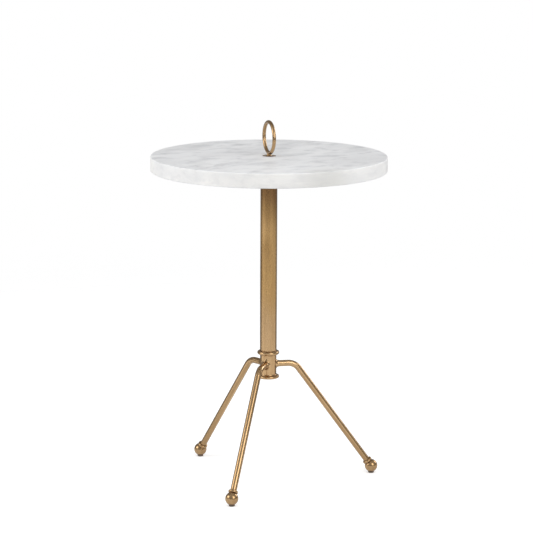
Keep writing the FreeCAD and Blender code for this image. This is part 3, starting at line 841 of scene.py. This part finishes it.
BACK_CARD = [
    (0.22, 2 * MM, 0.0),
    (0.45, 2 * MM, 1.0),
    (3.1, 2 * MM, 1.0),
    (3.3, 1.4, 1.0),
    (3.3, 3.4, 1.0),
    (0.0, 3.7, 1.0),
]
CAMERA_CARD = [
    (1.5, CARD_LIFT, 0.0),
    (2.0, CARD_LIFT, 0.1),
    (2.5, CARD_LIFT, 0.25),
    (2.8, CARD_LIFT, 0.0),
]
# A dark sheet under the table, seen only in reflections: painted shadow of the table on the floor.
FLOOR_SHADOW_CARD = [(0.0, FLOOR_SHADOW_LIFT, 0.36), (0.26, FLOOR_SHADOW_LIFT, 0.36), (0.38, FLOOR_SHADOW_LIFT, 0.0)]
# A glowing patch of floor on the left, seen only in reflections: painted reflection of light.
LEFT_PAINTED_LIGHT_CARD = [(2.2, CARD_LIFT, 0.0), (2.5, CARD_LIFT, 0.8), (2.8, CARD_LIFT, 0.0)]
RIGHT_CARD = [(2.45, CARD_LIFT, 0.0), (2.75, CARD_LIFT, 0.6), (3.15, CARD_LIFT, 0.9)]


def make_softbox(name, place, size, power, tint=PLAIN_WHITE, reflected=True):
    """Area lamp aimed at the table. One that isn't reflected lights the stone and leaves the brass alone."""
    data = bpy.data.lights.new(name, "AREA")
    data.shape = "RECTANGLE"
    data.size = size[0]
    data.size_y = size[1]
    data.energy = power
    data.color = tint
    lamp = bpy.data.objects.new(name, data)
    bpy.context.scene.collection.objects.link(lamp)
    lamp.visible_glossy = reflected
    aim = (TABLE_MIDDLE - place).to_track_quat("-Z", "Y")
    lamp.matrix_world = Matrix.Translation(place) @ aim.to_matrix().to_4x4()


def seen_rays(tree):
    """1 for what the camera, a reflection or glass looks at, 0 for light on its way."""
    rays = tree.nodes.new("ShaderNodeLightPath").outputs
    seen = maths(tree, "MAXIMUM", rays["Is Camera Ray"], rays["Is Glossy Ray"])
    return maths(tree, "MAXIMUM", seen, rays["Is Transmission Ray"])


def make_floor():
    """Pale round floor that takes the table's shadow and fades into the white around it."""
    rim = []
    for step in range(SMALL_SEGMENTS):
        angle = 2 * math.pi * step / SMALL_SEGMENTS
        rim.append((FLOOR_R * math.cos(angle), FLOOR_R * math.sin(angle), 0))
    mesh = bpy.data.meshes.new("floor")
    mesh.from_pydata(rim, [], [range(SMALL_SEGMENTS)])
    floor = bpy.data.objects.new("floor", mesh)
    bpy.context.scene.collection.objects.link(floor)
    material, tree, shader = new_material("floor")
    tree.nodes.remove(shader)
    place = node(tree, "ShaderNodeTexCoord", output="Object")
    distance = node(tree, "ShaderNodeVectorMath", {0: place}, output="Value", operation="LENGTH")
    strength = maths(tree, "MULTIPLY", seen_rays(tree), FLOOR_GLOW)
    glow = node(tree, "ShaderNodeEmission", {"Strength": strength})
    matt = node(tree, "ShaderNodeBsdfDiffuse", {"Color": FLOOR_TONE})
    both = node(tree, "ShaderNodeAddShader", {0: matt, 1: glow})
    clear = node(tree, "ShaderNodeBsdfTransparent")
    fade = ranged(tree, distance, *FLOOR_FADE)
    faded = node(tree, "ShaderNodeMixShader", {0: fade, 1: both, 2: clear})
    tree.links.new(faded, tree.nodes["Material Output"].inputs["Surface"])
    mesh.materials.append(material)


def make_world():
    """White surroundings to look at, and a softer level of light from all round."""
    world = bpy.data.worlds.new("studio")
    bpy.context.scene.world = world
    world.use_nodes = True
    tree = world.node_tree
    tone = mixed(tree, seen_rays(tree), WORLD_LIGHT, WORLD_SEEN)
    tree.links.new(tone, tree.nodes["Background"].inputs["Color"])


def make_card(name, first, last, stations, tone):
    """Studio card between two angles to the camera's right, seen only in reflections."""
    corners = []
    cover = []
    for step in range(CARD_STEPS + 1):
        angle = first + (last - first) * step / CARD_STEPS
        margin = min(step, CARD_STEPS - step, CARD_SOFT_STEPS) / CARD_SOFT_STEPS
        for distance, height, covered in stations:
            corners.append(seen_from_camera(angle, 0, distance) + Vector((0, 0, height)))
            cover.append(covered * margin)
    count = len(stations)
    faces = []
    for step in range(CARD_STEPS):
        for level in range(count - 1):
            corner = step * count + level
            faces.append((corner, corner + count, corner + count + 1, corner + 1))
    mesh = bpy.data.meshes.new(name)
    mesh.from_pydata(corners, [], faces)
    mesh.attributes.new("cover", "FLOAT", "POINT").data.foreach_set("value", cover)
    card = bpy.data.objects.new(name, mesh)
    bpy.context.scene.collection.objects.link(card)
    material, tree, shader = new_material(name)
    tree.nodes.remove(shader)
    covered = node(tree, "ShaderNodeAttribute", attribute_name="cover", output="Fac")
    clear = node(tree, "ShaderNodeBsdfTransparent")
    face = node(tree, "ShaderNodeEmission", {"Color": tone})
    faded = node(tree, "ShaderNodeMixShader", {0: covered, 1: clear, 2: face})
    tree.links.new(faded, tree.nodes["Material Output"].inputs["Surface"])
    mesh.materials.append(material)
    card.visible_camera = False
    card.visible_diffuse = False
    card.visible_shadow = False
    card.visible_transmission = False


make_camera()
make_floor()
make_world()
make_card("front_card", -135, 125, FRONT_CARD, FRONT_TONE)
make_card("back_card", 105, 262, BACK_CARD, BACK_TONE)
make_card("camera_card", -42, 16, CAMERA_CARD, CAMERA_TONE)
# Painted shadow of the table on the floor, seen only in reflections.
make_card("painted_floor_shadow_card", -180, 180, FLOOR_SHADOW_CARD, FLOOR_SHADOW_TONE)
# Painted reflection of light: a glowing floor patch on the left that lights nothing.
make_card("left_painted_light_card", -92, -50, LEFT_PAINTED_LIGHT_CARD, LIT_TONE)
make_card("right_card", 55, 125, RIGHT_CARD, FRONT_TONE)
make_softbox("softbox_left", seen_from_camera(-76, 30, 2.6), (1.5, 1.2), 17, WARM_WHITE)
make_softbox("softbox_right_front", seen_from_camera(37, 32, 2.8), (1.4, 1.5), 22, WARM_WHITE)
make_softbox("softbox_right_back", seen_from_camera(128, 26, 2.6), (1.1, 1.1), 13)
make_softbox("fill_left", seen_from_camera(-97, 12, 2.6), (1.0, 1.0), 17, reflected=False)
make_softbox("fill_right", seen_from_camera(92, 12, 2.6), (1.0, 1.0), 7, reflected=False)
make_softbox("softbox_top", seen_from_camera(-10, 72, 2.4), (1.4, 1.4), 13, reflected=False)
bpy.context.scene.view_settings.view_transform = "Standard"
